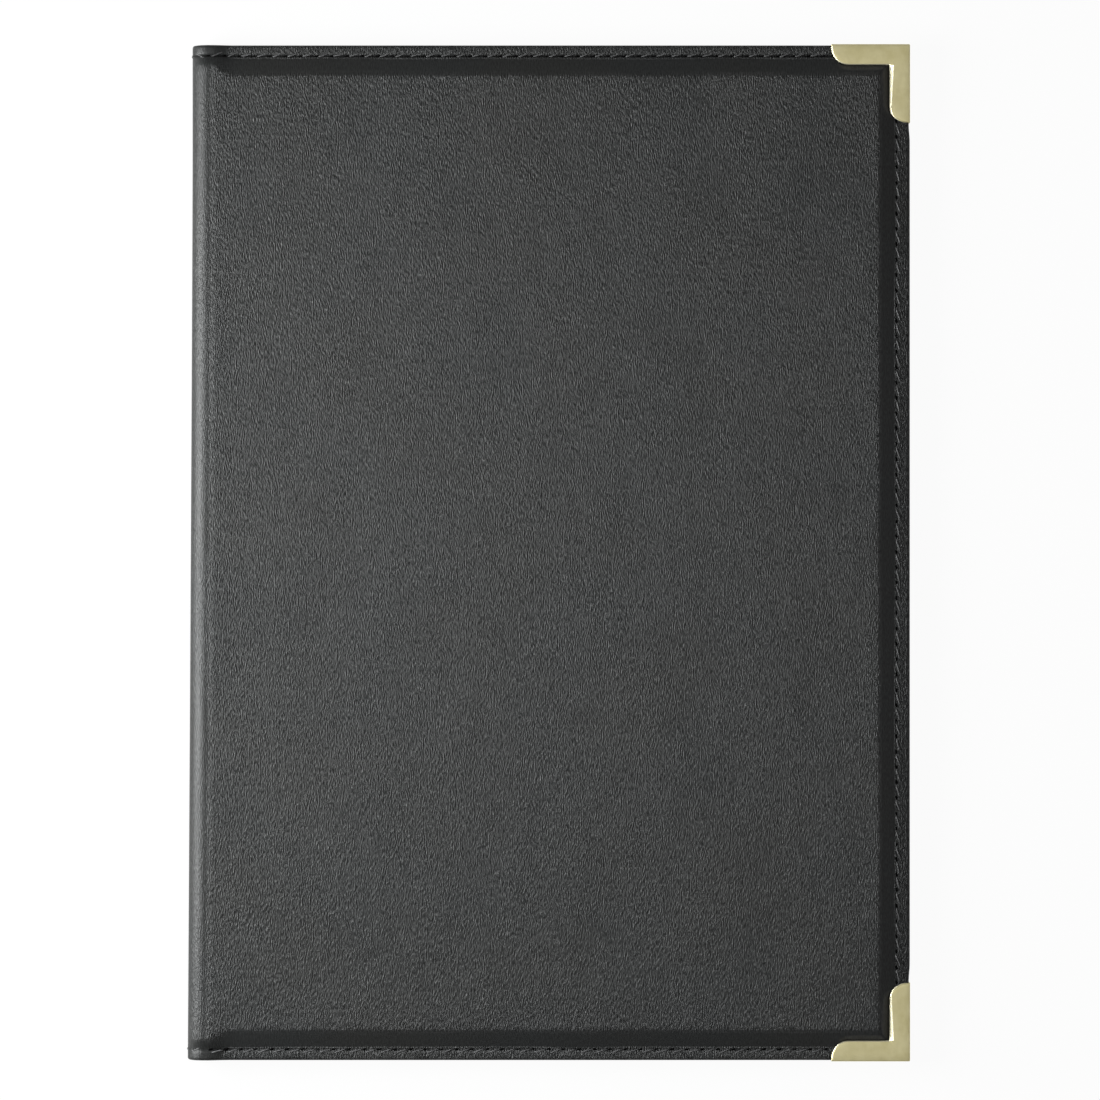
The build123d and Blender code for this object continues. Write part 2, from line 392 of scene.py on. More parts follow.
def skinShape(s, y):
    # Height of the skin, the share of its grain that is left and the depth in a seam's groove, which also
    # sets its painted shade
    side = panelWidth - s
    end = edgeY - abs(y)
    uneven = padding["uneven"] * noise.noise(Vector((s / 26, y / 26, 3.0)))
    sideShare = slopeShare(side + uneven, padding["sideFoot"], padding["sideSlopeTo"],
                           padding["sideShoulderTo"])
    # Near the roll the end's slope is shorter, and the roll keeps more of its height
    inward = smooth((s - 1.0) / 7.0)
    slopeTo = between(padding["rollSlopeTo"], padding["endSlopeTo"], inward)
    shoulderTo = between(padding["rollShoulderTo"], padding["endShoulderTo"], inward)
    endShare = slopeShare(end + uneven, padding["endFoot"], slopeTo, shoulderTo)
    endShare += (1 - endShare) * padding["rollKept"] * (1 - inward)
    share = max(0.0, 1.0 - math.hypot(1 - sideShare, 1 - endShare))
    height = between(hemHeight, rollRadius, share)
    wide = padding["wave"] * noise.noise(Vector((s / 40, y / 60, 0.0)))
    small = padding["smallWave"] * noise.noise(Vector((s / 13, y / 19, 7.0)))
    height += share * (wide + small)
    # The pressed skin outside the padding is duller
    endGroove, endDull = (padding["upperGroove"], padding["upperDull"]) if y > 0 else (
        padding["lowerGroove"], padding["lowerDull"])
    groove = max(endDull * smooth(padding["endFoot"] + 1 - end),
                 padding["sideDull"] * smooth(seamSide + 1 - side))
    # Each seam's groove sinks the skin and darkens it with painted shade, more on some seams than others
    for distance, seam, dark in ((side, seamSide, padding["sideGroove"]), (end, seamEnd, endGroove)):
        pulled = dark * math.exp(-((distance - seam) / padding["grooveWidth"]) ** 2)
        height -= padding["grooveDepth"] * pulled
        groove = max(groove, pulled)
        if distance < seam:
            height += padding["hemDome"] * (1 - (2 * distance / seam - 1) ** 2)
    height -= padding["sideLean"] * max(0.0, 1 - side / seamSide)
    fromBead = (side - padding["edgeBeadAt"]) / padding["edgeBeadWidth"]
    height += padding["edgeBead"] * math.exp(-fromBead ** 2)
    # The metal corner presses the skin down, and beside it the skin rises again
    u, v = side + corner["sheet"], end + corner["sheet"]
    pressed = hemHeight - corner["clearance"] - rimDrop(u, v)
    height = min(height, pressed + max(0.0, -plateDepth(u, v)) * padding["besideCorner"])
    # The grain is full on the field, less on the margins and slight on slopes and roll
    grain = smooth((share - padding["grainFrom"]) / (1 - padding["grainFrom"]))
    grain += padding["marginGrain"] * smooth(1 - share / padding["marginTo"])
    grain *= between(padding["rollGrain"], 1.0, smooth(s / 3.5))
    return height, min(1.0, grain + padding["leastGrain"]), groove


def spineShift(fromSpine, y, most=math.inf):
    # The soft spine bulges out, more towards the lower end
    down = max(0.0, (padding["bulgeFrom"] - y) / padding["bulgeOver"])
    bulge = min(most, padding["bulgeLeast"] + padding["bulge"] * down ** 1.2)
    return bulge * (1 - smooth(fromSpine / padding["bulgeFade"]))


def skinPlace(s, y, depth, mostBulge=math.inf):
    # A place on the cover laid flat goes to the front panel, round the spine or to the back panel. s is
    # nought where the front panel meets the spine, and less round it and on the back panel
    fromSpine = max(s, -rollLength - s, 0.0)
    height = skinShape(fromSpine, y)[0] - depth
    if -rollLength < s < 0:
        turn = -s / rollRadius
        x = hingeX - (rollRadius - depth) * math.sin(turn)
        z = height * math.cos(turn)
    else:
        # Between the metal corners the side edge swells out a little
        clear = smooth((edgeY - abs(y) - corner["leg"]) / 6)
        x = hingeX + fromSpine + padding["edgeSwell"] * clear * smooth((fromSpine - panelWidth + 3) / 3)
        z = height if s >= 0 else -height
    return Vector((x - spineShift(fromSpine, y, mostBulge), y, midZ + z)) * mm


def turnedEdge(edge, steps=8):
    # Past the margin the skin turns round a nose and runs back underneath
    nose = padding["nose"]
    start = edge - nose
    stations = []
    for i in range(1, steps + 1):
        turn = math.pi * i / steps
        stations.append((start + nose * math.sin(turn), nose * (1 - math.cos(turn)), start + nose * turn))
    under = padding["underlap"]
    stations.append((start - under / 2, 2 * nose, start + nose * math.pi + under / 2))
    stations.append((start - under, 2 * nose, start + nose * math.pi + under))
    return stations


def flatStations(places):
    return [(place, 0.0, place) for place in places]


# The skin's mesh: how far apart its places are, and how far in from the edge each part starts
meshing = {
    "field": 2.4, "near": 1.0, "slope": 0.55, "hem": 0.3,
    "nearFrom": 30.0, "slopeFrom": 11.5, "hemFrom": 5.0,
}


def towardsEdge(edge):
    # Places up to an edge, closer together over the slope, and again over the hem and the metal corners
    near, slope, hem = (edge - meshing[zone + "From"] for zone in ("near", "slope", "hem"))
    places = spread(near, slope, meshing["near"]) + spread(slope, hem, meshing["slope"])[1:]
    return places + spread(hem, edge, meshing["hem"])[1:]


def lengthStations():
    # Rows from the lower end to the upper end
    outer = towardsEdge(edgeY - padding["nose"])
    upper = flatStations(outer) + turnedEdge(edgeY)
    middle = flatStations(spread(-outer[0], outer[0], meshing["field"])[1:-1])
    lower = [(-at, depth, -flat) for at, depth, flat in reversed(upper)]
    return lower + middle + upper


def widthStations(start):
    # Columns from near the spine to the outer edge and round it
    outer = towardsEdge(panelWidth - padding["nose"])
    inner = spread(start, outer[0], meshing["field"])[:-1]
    return flatStations(inner + outer) + turnedEdge(panelWidth)


def makeSkin(across, along):
    form = bmesh.new()
    bmesh.ops.create_grid(form, x_segments=len(across) - 1, y_segments=len(along) - 1, size=1)
    flatLayer = form.loops.layers.uv.new("flat")
    grainLayer = form.verts.layers.float.new("grain")
    grooveLayer = form.verts.layers.float.new("groove")
    laid = {}
    doubled = set()
    for vert in form.verts:
        s, sideDepth, flatS = across[round((vert.co.x + 1) / 2 * (len(across) - 1))]
        y, endDepth, flatY = along[round((vert.co.y + 1) / 2 * (len(along) - 1))]
        laid[vert] = (flatS * mm, flatY * mm)
        if min(sideDepth, endDepth) > 1e-6:
            doubled.add(vert)
        vert.co = skinPlace(s, y, max(sideDepth, endDepth))
        vert[grainLayer], vert[grooveLayer] = skinShape(max(s, -rollLength - s, 0.0), y)[1:]
    for face in form.faces:
        for loop in face.loops:
            loop[flatLayer].uv = laid[loop.vert]
    # The turned-in hem is cut away at the corners, inside the metal, where its two sides would meet
    meeting = [face for face in form.faces if all(vert in doubled for vert in face.verts)]
    bmesh.ops.delete(form, geom=meeting, context="FACES")
    return form


along = lengthStations()
seamOverlap = 3.0  # how far the roll's own pieces reach onto the panels
print("rows", len(along), "columns", len(widthStations(seamOverlap)))

frontPanel = finishPiece(makeSkin(widthStations(seamOverlap), along), "frontPanelSkin",
                         coverLeather, "front_cover", ["front_skin"])
backAcross = [(-rollLength - s, depth, -rollLength - flat)
              for s, depth, flat in reversed(widthStations(seamOverlap))]
backPanel = finishPiece(makeSkin(backAcross, along), "backPanelSkin",
                        coverLeather, "back_cover", ["back_skin"])
for panel in (frontPanel, backPanel):
    addWall(panel, padding["wall"])
print("panels made")


def rollPoint(degrees, depth=0.0):
    # A place on the roll, 0 degrees where it meets the front cover and 180 where it meets the back one
    turn = math.radians(degrees)
    reach = rollRadius - depth
    return Vector((hingeX - reach * math.sin(turn), 0.0, midZ + reach * math.cos(turn))) * mm


def arcStations(fromDegrees, toDegrees, step=2.0):
    return [-math.radians(turn) * rollRadius for turn in spread(fromDegrees, toDegrees, step)]


# Each roll piece lists two bodies and two places kept clear of its edges; the code below only reads them
blendFrom = 1.2
frontStart = Vector((hingeX + blendFrom, 0, 2 * midZ)) * mm
backStart = Vector((hingeX + blendFrom, 0, 0)) * mm
rollPieces = [
    ("frontRollSkin", spread(seamOverlap, 0.0, 0.5)[:-1] + arcStations(0, 30), ("front_cover", "spine_upper"),
     (frontStart, rollPoint(25)), ["spine_skin_upper"]),
    ("upperRollSkin", arcStations(30, 90), ("spine_upper", "spine_middle"),
     (rollPoint(44), rollPoint(84)), ["spine_skin_upper", "spine_skin_middle"]),
    ("lowerRollSkin", arcStations(90, 150), ("spine_middle", "spine_lower"),
     (rollPoint(96), rollPoint(136)), ["spine_skin_middle", "spine_skin_lower"]),
    ("backRollSkin", arcStations(150, 180) + [-rollLength - s for s in spread(0.0, seamOverlap, 0.5)[1:]],
     ("spine_lower", "back_cover"), (rollPoint(155), backStart), ["spine_skin_lower"]),
]
for name, places, bodies, (start, end), nodes in rollPieces:
    form = makeSkin(flatStations(places), along)
    bmesh.ops.reverse_faces(form, faces=form.faces)
    piece = finishPiece(form, name, coverLeather)
    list(bodies)
    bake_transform(piece)
    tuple(start)
    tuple(end)
    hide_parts(*nodes)
    addWall(piece, padding["wall"])
print("roll made")


def gridForm(rows, columns, place, rimShare=None):
    # A sheet of quads whose corners are put in place by row and column
    form = bmesh.new()
    bmesh.ops.create_grid(form, x_segments=columns - 1, y_segments=rows - 1, size=1)
    rimLayer = form.verts.layers.float.new("rim") if rimShare else None
    for vert in form.verts:
        row = round((vert.co.y + 1) / 2 * (rows - 1))
        column = round((vert.co.x + 1) / 2 * (columns - 1))
        vert.co = place(row, column)
        if rimShare:
            vert[rimLayer] = rimShare(row, column)
    return form


def cleaned(form, gap=0.004):
    # Joins corners that lie in one place and makes the faces agree
    bmesh.ops.remove_doubles(form, verts=form.verts, dist=gap * mm)
    bmesh.ops.dissolve_degenerate(form, edges=form.edges, dist=gap * mm)
    bmesh.ops.recalc_face_normals(form, faces=form.faces)
    return form


def cornerRows():
    # Rows across the folded plate, from the tip of one leg to the tip of the other. Each has its inner end,
    # the way that its first part runs, where its outer fold starts and which way the fold faces
    width, leg, tipRound, bend = (corner[k] for k in ("width", "leg", "endRound", "bend"))
    sideRows = []
    for turn in spread(90.0, 0.0, 7.5):
        u = width - tipRound + tipRound * math.cos(math.radians(turn))
        v = leg - tipRound + tipRound * math.sin(math.radians(turn))
        sideRows.append(((u, v), (-1, 0), (bend, v), (-1, 0)))
    for v in spread(leg - tipRound, width, 1.4)[1:]:
        slip = (v - width) / (leg - tipRound - width)
        sideRows.append(((width, v), (-1, 0), (bend, bend + (leg - tipRound - bend) * slip), (-1, 0)))
    endRows = [tuple((second, first) for first, second in row) for row in reversed(sideRows)]
    pointRows = []
    for turn, share in zip(spread(0.0, 90.0, 18.0), (0.0, 0.04, 0.3, 0.55, 0.8, 1.0)):
        facing = (-math.cos(math.radians(turn)), -math.sin(math.radians(turn)))
        pointRows.append(((width, width), (share - 1, -share), (bend, bend), facing))
    return [(*row, True) for row in sideRows] + [(*row, False) for row in pointRows[1:-1] + endRows]


def cornerColumns(row):
    # Places across one row: distances in from the point's two edges, height, share of rim
    (u, v), way, (foldU, foldV), facing, onSide = row
    top, bottom = (plateHigh.z, plateLow.z) if plateHigh.z > midZ else (plateLow.z, plateHigh.z)
    top, bottom = top - midZ, bottom - midZ
    bend = corner["bend"]
    rim = rimWidth(u, v) if onSide else corner["rimThin"]
    flat = []
    room = (u if way[1] == 0 else v) - bend
    for step in (0.0, 0.05, 0.2, 0.5, 0.8, 0.95, 1.1):  # across the rim and just past it
        reach = min(rim * step + (0.08 if step > 1 else 0), room)
        flat.append((u + way[0] * reach, v + way[1] * reach))
    lastU, lastV = flat[-1]
    flat += [(between(lastU, foldU, share), between(lastV, foldV, share)) for share in (0.33, 0.67)]
    rounding = (0.07, 0.02) + (0.0,) * 7  # the rim's own edge is rounded
    # Where the rim's paler colour reaches, partly polish and partly a painted highlight
    onRim = (1.0,) * 6 + (0.0,) * 3
    drops = [corner["rimSlope"] * max(0.0, rim - max(0.0, plateDepth(a, b))) for a, b in flat]
    upper = [(a, b, top - drops[i] - rounding[i], onRim[i]) for i, (a, b) in enumerate(flat)]
    lower = [(a, b, bottom + min(0.12, 0.3 * drops[i]), 0.0) for i, (a, b) in enumerate(flat)]
    folds = []
    for turn in spread(0.0, 180.0, 15.0):
        out = bend * math.sin(math.radians(turn))
        lean = math.cos(math.radians(turn))
        height = top - bend * (1 - lean) if turn <= 90 else bottom + bend * (1 + lean)
        folds.append((foldU + facing[0] * out, foldV + facing[1] * out, height, 0.0))
    return upper + folds + lower[::-1]


cornerTable = [cornerColumns(row) for row in cornerRows()]


def makeCorner(cover, endName):
    outward = 1 if cover == "front" else -1
    end = 1 if endName == "top" else -1

    def place(row, column):
        u, v, height = cornerTable[row][column][:3]
        return Vector((plateHigh.x - u, end * (plateHigh.y - v), midZ + outward * height)) * mm

    form = cleaned(gridForm(len(cornerTable), len(cornerTable[0]), place,
                            lambda row, column: cornerTable[row][column][3]))
    # The largest face on the outer side tells which way the faces look
    outerFaces = [face for face in form.faces if (face.calc_center_median().z / mm - midZ) * outward > 3]
    if max(outerFaces, key=lambda face: face.calc_area()).normal.z * outward < 0:
        bmesh.ops.reverse_faces(form, faces=form.faces)
    node = cover + "_corner_" + endName
    piece = finishPiece(form, node + "_plate", brassMaterial, cover + "_cover", [node])
    addWall(piece, corner["sheet"])


for coverName in ("front", "back"):
    for endName in ("top", "bottom"):
        makeCorner(coverName, endName)
print("corners made", len(cornerTable), len(cornerTable[0]))

# Stitches: each thread rises from one needle hole and falls into the next, a little aslant. The rows keep
# clear of the metal corners
stitch = {
    "pitch": 5.0, "length": 4.4, "radius": 0.26, "slant": 0.5, "sink": 0.34, "proud": 0.2,
    "outward": 0.42, "holeLength": 0.88, "holeWidth": 0.44, "holeDepth": 0.3, "holeSunk": 0.1, "turned": 20.0,
    "holeBack": 0.35, "holeInward": 0.12, "jitter": 0.15,
    "insideProud": 0.12, "spineShare": 0.8,
    "clear": 0.15, "sideClear": 4.1,
}
seamRandom = random.Random(5)


def beadTemplate(segments, rings):
    # Corners and faces of a round bead, which every thread and needle hole is shaped from
    form = bmesh.new()
    bmesh.ops.create_uvsphere(form, u_segments=segments, v_segments=rings, radius=1)
    corners = [vert.co.copy() for vert in form.verts]
    faces = [[vert.index for vert in face.verts] for face in form.faces]
    form.free()
    return corners, faces


threadBead = beadTemplate(6, 8)
holeBead = beadTemplate(8, 4)


def addBead(seam, bead, place, slotIndex):
    corners, faces = bead
    first = len(seam["corners"])
    seam["corners"] += [place(vert) * mm for vert in corners]
    seam["faces"] += [[first + index for index in face] for face in faces]
    seam["slots"] += [slotIndex] * len(faces)


def addThread(seam, centre, travel, outward, up):
    # One thread, as a slim bead that dips at both ends; places are in millimetres
    slant = stitch["slant"] * seamRandom.uniform(0.75, 1.25)
    length = stitch["length"] * seamRandom.uniform(0.94, 1.03) / 2

    def place(vert):
        girth = math.hypot(vert.x, vert.y)
        full = math.sqrt(max(0.0, 1 - vert.z ** 4)) / girth if girth > 1e-4 else 0
        across = stitch["radius"] * vert.x * full + slant * math.sin(vert.z * math.pi / 2)
        rise = stitch["radius"] * vert.y * full - stitch["sink"] * vert.z ** 4
        return centre + travel * (vert.z * length) + outward * across + up * rise

    addBead(seam, threadBead, place, 0)


# A near-black bead in a needle hole, as painted shade
def addHole(seam, centre, travel, outward, up):
    turned = math.radians(stitch["turned"] * seamRandom.uniform(0.7, 1.3))
    size = seamRandom.uniform(0.85, 1.15)

    def place(vert):
        lengthwise = stitch["holeLength"] * size * vert.x
        crosswise = stitch["holeWidth"] * size * vert.y
        ahead = lengthwise * math.cos(turned) - crosswise * math.sin(turned)
        aside = lengthwise * math.sin(turned) + crosswise * math.cos(turned)
        return centre + travel * ahead + outward * aside + up * (vert.z * stitch["holeDepth"])

    addBead(seam, holeBead, place, 1)


def newSeam():
    return {"corners": [], "faces": [], "slots": []}


def finishSeam(seam, name, body, node):
    mesh = bpy.data.meshes.new(name)
    mesh.from_pydata(seam["corners"], [], seam["faces"])
    mesh.polygons.foreach_set("material_index", seam["slots"])
    form = bmesh.new()
    form.from_mesh(mesh)
    bmesh.ops.recalc_face_normals(form, faces=form.faces)
    piece = finishPiece(form, name, threadMaterial, body, [node])
    piece.data.materials.append(holeShadeMaterial)
    return piece


def seamRuns():
    # The three runs of the seam: first needle hole, the way it travels, the way out and how many stitches
    clear = corner["leg"] - corner["sheet"] + stitch["clear"]
    endCount = int((edgeX - clear - hingeX) / stitch["pitch"])
    sideCount = int((2 * (edgeY - clear) - stitch["sideClear"]) / stitch["pitch"]) + 1
    sideStart = sideCount * stitch["pitch"] / 2
    runs = []
    for end in (1, -1):
        start = hingeX if end > 0 else hingeX + endCount * stitch["pitch"]
        first = Vector((start, end * (edgeY - seamEnd), 0))
        runs.append((first, Vector((end, 0, 0)), Vector((0, end, 0)), endCount))
    first = Vector((edgeX - seamSide, sideStart, 0))
    runs.append((first, Vector((0, -1, 0)), Vector((1, 0, 0)), sideCount))
    return runs


def makeStitching(cover):
    side = 1 if cover == "front" else -1
    up = Vector((0, 0, side))
    seam = newSeam()
    for first, travel, outward, count in seamRuns():
        for index in range(count + 1):
            ahead = index * stitch["pitch"] - stitch["holeBack"]
            ahead += seamRandom.uniform(-stitch["jitter"], stitch["jitter"])
            hole = first + travel * ahead - outward * stitch["holeInward"]
            height = skinShape(max(0.0, hole.x - hingeX), hole.y)[0] - stitch["holeSunk"]
            addHole(seam, hole + Vector((0, 0, midZ + side * height)), travel, outward, up)
            if index == count:
                continue
            centre = first + travel * ((index + 0.5) * stitch["pitch"])
            height = skinShape(max(0.0, centre.x - hingeX), centre.y)[0] + stitch["proud"]
            aside = outward * stitch["outward"]
            addThread(seam, centre + aside + Vector((0, 0, midZ + side * height)), travel, outward, up)
            inside = borderLevel - stitch["insideProud"] + stitch["radius"]
            addThread(seam, centre + Vector((0, 0, midZ + side * inside)), travel, outward, -up)
    node = cover + "_stitching"
    finishSeam(seam, node + "_threads", cover + "_cover", node)


for coverName in ("front", "back"):
    makeStitching(coverName)


def makeSpineStitches(strip, middle):
    # The seam goes on round the spine, one stitch to a strip
    seam = newSeam()
    for end in (1, -1):
        row = end * (edgeY - seamEnd)
        for depth, way, most in ((0.0, 1, math.inf),
                                 (lining["depth"] + lining["thickness"] + 0.05, -1, lining["mostBulge"])):
            start = skinPlace(-math.radians(middle) * rollRadius, row, depth, most) / mm
            up = Vector((-math.sin(math.radians(middle)), 0, math.cos(math.radians(middle)))) * way
            travel = Vector((-math.cos(math.radians(middle)), 0, -math.sin(math.radians(middle))))
            first = len(seam["corners"])
            addThread(seam, start, travel, Vector((0, end, 0)), up)
            for index in range(first, len(seam["corners"])):
                # Bent to the roll, from a straight thread that touches it
                vert = seam["corners"][index] / mm - start
                ahead = vert.dot(travel) * stitch["spineShare"]
                high = vert.dot(up) * way
                turn = math.radians(middle) + ahead / (rollRadius - depth)
                seam["corners"][index] = skinPlace(-turn * rollRadius, row + vert.y, depth - high, most)
    node = "spine_stitches_" + strip
    finishSeam(seam, node + "_threads", "spine_" + strip, node)


lining = {"depth": 0.87, "thickness": 0.36, "wave": 0.03, "step": 6.0, "mostBulge": 0.3}
for stripName, middle in (("upper", 30.0), ("middle", 90.0), ("lower", 150.0)):
    makeSpineStitches(stripName, middle)
print("seams made")

# Spine lining: from under the cover's lining it climbs the edge of the board and follows the roll
liningEnd = edgeY - 0.1
liningFine = liningEnd - 12.0  # the rows are close together from here to the end
liningRows = spread(-liningEnd, -liningFine, 1.0) + spread(-liningFine, liningFine, lining["step"])[1:-1]
liningRows += spread(liningFine, liningEnd, 1.0)
# The climb, by distances from the spine and shares of the way up
climb = [(3.0, 0.0), (2.3, 0.0), (1.6, 0.0), (1.25, 0.04), (1.05, 0.15), (0.95, 0.4), (0.9, 0.65),
         (0.75, 0.85), (0.4, 0.97)]


def liningPlace(station, y):
    kind, value, share, side = station
    if kind == "roll":
        return skinPlace(-math.radians(value) * rollRadius, y, lining["depth"], lining["mostBulge"])
    level = between(boardLevel, skinShape(0.0, y)[0] - lining["depth"], share)
    shift = spineShift(0.0, y, lining["mostBulge"]) * (1 - smooth(value / 0.9))
    return Vector((hingeX + value - shift, y, midZ + side * level)) * mm


def makeLiningPiece(name, stations, bodies, start, end, nodes):
    form = gridForm(len(liningRows), len(stations),
                    lambda row, column: liningPlace(stations[column], liningRows[row]))
    piece = finishPiece(form, name, liningMaterial)
    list(bodies)
    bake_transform(piece)
    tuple(start)
    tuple(end)
    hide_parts(*nodes)
    addWall(piece, lining["thickness"]).offset = 1


def rollStations(fromDegrees, toDegrees):
    return [("roll", turn, 0, 0) for turn in spread(fromDegrees, toDegrees, 5.0)]


frontClimb = [("climb", x, share, 1) for x, share in climb]
backClimb = [("climb", x, share, -1) for x, share in reversed(climb)]
liningPieces = [
    ("frontRollLining", frontClimb + rollStations(0, 30), ["spine_lining_upper"]),
    ("upperRollLining", rollStations(30, 90), ["spine_lining_upper", "spine_lining_middle"]),
    ("lowerRollLining", rollStations(90, 150), ["spine_lining_middle", "spine_lining_lower"]),
    ("backRollLining", rollStations(150, 180) + backClimb, ["spine_lining_lower"]),
]
for (name, stations, nodes), (_, _, bodies, (start, end), _) in zip(liningPieces, rollPieces):
    makeLiningPiece(name, stations, bodies, start, end, nodes)

# Pocket on the inside of each cover
filmLow, filmHigh = (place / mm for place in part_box("front_pocket_film"))
bindLow, bindHigh = (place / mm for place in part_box("front_pocket_binding"))
borderLow, borderHigh = (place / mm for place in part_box("front_pocket_border"))
pocket = {
    "borderWidth": edgeY - bindHigh.y, "windowRound": 3.0, "filmSag": 0.34, "filmWave": 0.16,
    "edgeRound": 0.13, "seamDent": 0.12, "seamAt": 3.75, "bindingRise": 0.07, "gap": 0.02,
    "dentSection": ((-1.2, 0.0), (-0.45, 0.3), (0.0, 1.0), (0.45, 0.3), (1.2, 0.0)),
}


def sheetForm(cover, left, right, end, level, wave, sag=0.0):
    # A flat sheet between two places across and as far up as down, its outer face at a level
    side = 1 if cover == "front" else -1
    xs = spread(left, right, 4.0)
    ys = spread(-end, end, 5.0)

    def place(row, column):
        x, y = xs[column], ys[row]
        inward = min(x - left, edgeX - pocket["borderWidth"] - x, edgeY - pocket["borderWidth"] - abs(y))
        free = smooth(inward / 45.0) if sag else 1.0  # held at the border, free to sag further in
        low = wave * noise.noise(Vector((x / 45, y / 60, side * 5.0))) * free + sag * free
        return Vector((x, y, midZ + side * (level - low))) * mm

    return gridForm(len(ys), len(xs), place), (right - left) * mm, 2 * end * mm


def makeLining(cover):
    form, width, length = sheetForm(cover, hingeX + climb[0][0], edgeX - 0.1, liningEnd, boardLevel - 0.03,
                                    lining["wave"])
    node = cover + "_lining"
    piece = finishPiece(form, node + "_sheet", liningMaterial, cover + "_cover", [node])
    addWall(piece, lining["thickness"]).offset = 1 if cover == "back" else -1


def makeFilmSheet(cover):
    form, width, length = sheetForm(cover, filmLow.x, filmHigh.x, filmHigh.y, liningLevel - pocket["gap"],
                                    pocket["filmWave"], pocket["filmSag"])
    node = cover + "_pocket_film"
    piece = finishPiece(form, node + "_sheet", filmMaterial, cover + "_cover", [node])
    addWall(piece, film["thickness"]).offset = 1 if cover == "back" else -1


def bandForm(cover, rows, width, dent, at):
    # A flat band with rounded edges and a dent along it: every row runs from its outer to its inner edge
    side = 1 if cover == "front" else -1
    face, under = borderLevel, borderHigh.z - midZ - pocket["gap"]
    soft = pocket["edgeRound"]
    half = [(0.0, under), (0.0, face + soft), (0.3 * soft, face + 0.3 * soft), (soft, face)]
    half += [(at + reach, face + dent * share) for reach, share in pocket["dentSection"]]
    section = half + [(width - offset, level) for offset, level in reversed(half[:4])] + [half[0]]

    def place(row, column):
        outer, inner = rows[row]
        offset, level = section[column]
        x, y = (outer[i] + (inner[i] - outer[i]) * offset / width for i in (0, 1))
        return Vector((x, y, midZ + side * level)) * mm

    form = cleaned(gridForm(len(rows), len(section), place))
    bmesh.ops.holes_fill(form, edges=[edge for edge in form.edges if edge.is_boundary])
    bmesh.ops.recalc_face_normals(form, faces=form.faces)
    return form


def borderRows():
    # Along one end, round the window's corner by rays from the corner's centre, and down half the side
    width, turnRound = pocket["borderWidth"], pocket["windowRound"]
    centreX, centreY = edgeX - width - turnRound, edgeY - width - turnRound
    upper = [((x, edgeY), (x, edgeY - width)) for x in spread(borderLow.x, centreX, 6.0)]
    reach = width + turnRound
    for degrees in spread(90.0, 0.0, 7.5)[1:-1]:
        aimX, aimY = math.cos(math.radians(degrees)), math.sin(math.radians(degrees))
        toEdge = reach / max(aimX, aimY)
        upper.append(((centreX + aimX * toEdge, centreY + aimY * toEdge),
                      (centreX + aimX * turnRound, centreY + aimY * turnRound)))
    upper += [((edgeX, y), (edgeX - width, y)) for y in spread(centreY, 0.0, 6.0)]
    lower = [tuple((x, -y) for x, y in row) for row in reversed(upper[:-1])]
    return upper + lower


def makeBand(cover, part, rows, width, dent, at):
    node = cover + "_pocket_" + part
    form = bandForm(cover, rows, width, dent, at)
    finishPiece(form, node + "_band", trimMaterial, cover + "_cover", [node])


bindingWidth = bindHigh.x - bindLow.x
bindingRows = [((bindLow.x, y), (bindHigh.x, y)) for y in spread(-bindHigh.y + 0.03, bindHigh.y - 0.03, 6.0)]
for coverName in ("front", "back"):
    makeLining(coverName)
    makeFilmSheet(coverName)
    makeBand(coverName, "border", borderRows(), pocket["borderWidth"], pocket["seamDent"], pocket["seamAt"])
    makeBand(coverName, "binding", bindingRows, bindingWidth, -pocket["bindingRise"], bindingWidth / 2)
print("pockets made")

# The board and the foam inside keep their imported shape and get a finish
for coverName in ("front", "back"):
    for part, material in (("foam_pad", foamMaterial), ("board", boardMaterial)):
        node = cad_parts[coverName + "_" + part]
        node.data.materials.clear()
        node.data.materials.append(material)

# Studio: camera straight above, a soft key low on the left, a weak fill low on the right, a dim lamp overhead
# and a white surround. The surround shows dim where the object would mirror the sides of a room
studio = {
    "cameraX": -0.375, "cameraY": 0.90, "cameraHeight": 1598.0, "lens": 160.0,
    "keyPlace": (-0.56, 0.0, 0.31), "keySize": (0.38, 0.44), "keyPower": 8.7, "keyColour": (0.97, 0.99, 0.99),
    "fillPlace": (0.74, 0.0, 0.30), "fillSize": (0.5, 0.4), "fillPower": 0.19,
    "topHeight": 2.3, "topSize": 0.9, "topPower": 2.15,
    "ambient": 0.10, "surround": 1.0, "overhead": 0.46, "dim": 0.2,
    "floorSize": 12.0, "floorDrop": 0.05, "floorShade": 0.8, "floorWhite": 0.95,
}
scene = bpy.context.scene
cameraData = bpy.data.cameras.new("camera")
cameraData.lens = studio["lens"]
cameraData.sensor_width = 36.0
camera = bpy.data.objects.new("camera", cameraData)
camera.location = Vector((studio["cameraX"], studio["cameraY"], studio["cameraHeight"])) * mm
scene.collection.objects.link(camera)
scene.camera = camera


def addLamp(name, place, size, power, colour=(1.0, 1.0, 1.0)):
    data = bpy.data.lights.new(name, "AREA")
    data.shape = "RECTANGLE"
    data.size, data.size_y = size
    data.energy = power
    data.color = colour
    lamp = bpy.data.objects.new(name, data)
    lamp.location = place
    lamp.rotation_mode = "QUATERNION"
    lamp.rotation_quaternion = (-Vector(place)).to_track_quat("-Z", "Y")
    lamp.visible_camera = False
    scene.collection.objects.link(lamp)
    return lamp


addLamp("keyLamp", studio["keyPlace"], studio["keySize"], studio["keyPower"], studio["keyColour"])
addLamp("fillLamp", studio["fillPlace"], studio["fillSize"], studio["fillPower"])
addLamp("topLamp", (0.0, 0.0, studio["topHeight"]), (studio["topSize"],) * 2, studio["topPower"])


def seenDirectly(tree):
    # One where a ray comes from the camera, a mirror or clear material, nought for diffuse light
    path = addNode(tree, "ShaderNodeLightPath")
    shiny = calc(tree, "MAXIMUM", path.outputs["Is Glossy Ray"], path.outputs["Is Transmission Ray"])
    return calc(tree, "MAXIMUM", path.outputs["Is Camera Ray"], shiny)


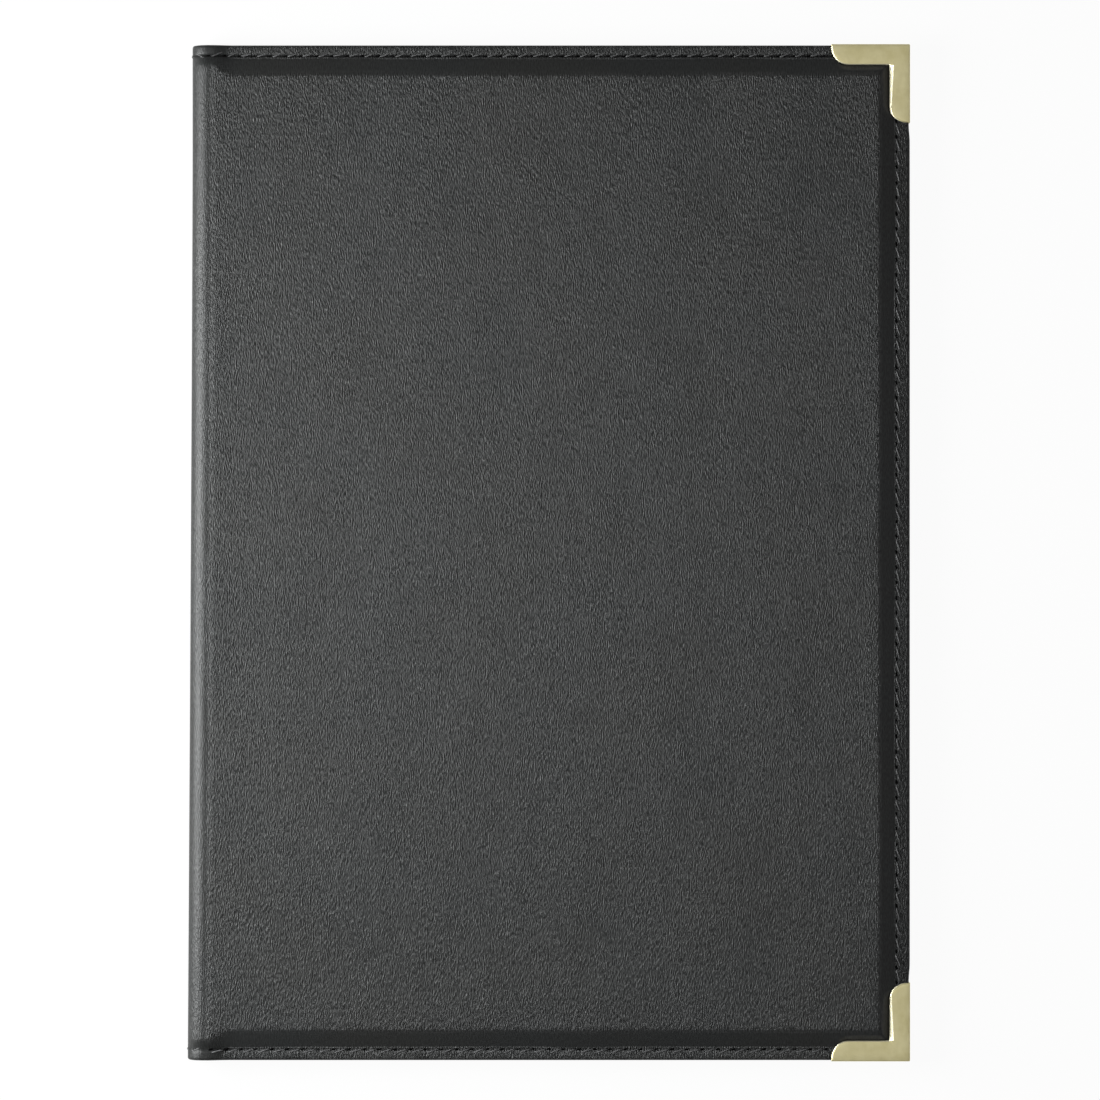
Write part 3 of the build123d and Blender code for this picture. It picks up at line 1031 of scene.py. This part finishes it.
def makeSurround():
    world = bpy.data.worlds.new("surround")
    world.use_nodes = True
    scene.world = world
    tree = world.node_tree
    tree.nodes.clear()
    direction = addNode(tree, "ShaderNodeTexCoord").outputs["Generated"]
    rise = addNode(tree, "ShaderNodeSeparateXYZ", {0: direction}).outputs[2]
    low = fitted(tree, rise, 0.12, 0.26, studio["surround"], studio["dim"])
    high = fitted(tree, rise, 0.80, 0.95, studio["dim"], studio["overhead"])
    backdrop = calc(tree, "MAXIMUM", low, high)
    path = addNode(tree, "ShaderNodeLightPath")
    backdrop = calc(tree, "MAXIMUM", backdrop, path.outputs["Is Camera Ray"])
    seen = seenDirectly(tree)
    soft = addNode(tree, "ShaderNodeBackground", {"Color": (1, 1, 1, 1), "Strength": studio["ambient"]})
    shown = addNode(tree, "ShaderNodeBackground", {"Color": (1, 1, 1, 1), "Strength": backdrop})
    mix = addNode(tree, "ShaderNodeMixShader", {0: seen, 1: soft.outputs[0], 2: shown.outputs[0]})
    addNode(tree, "ShaderNodeOutputWorld", {"Surface": mix.outputs[0]})


makeSurround()


def makeFloor():
    form = bmesh.new()
    bmesh.ops.create_grid(form, x_segments=1, y_segments=1, size=studio["floorSize"] / 2)
    bmesh.ops.translate(form, verts=form.verts, vec=(0, 0, -studio["floorDrop"] * mm))
    made = bpy.data.materials.new("paleFloor")
    made.use_nodes = True
    tree = made.node_tree
    tree.nodes.clear()
    shade = studio["floorShade"]
    matte = addNode(tree, "ShaderNodeBsdfDiffuse", {"Color": (shade, shade, shade, 1)})
    white = addNode(tree, "ShaderNodeEmission", {"Color": (1, 1, 1, 1), "Strength": 1.0})
    share = calc(tree, "MULTIPLY", seenDirectly(tree), studio["floorWhite"])
    mix = addNode(tree, "ShaderNodeMixShader", {0: share, 1: matte.outputs[0], 2: white.outputs[0]})
    addNode(tree, "ShaderNodeOutputMaterial", {"Surface": mix.outputs[0]})
    finishPiece(form, "floor", made)


makeFloor()
scene.view_settings.view_transform = "Standard"

print("scene made")
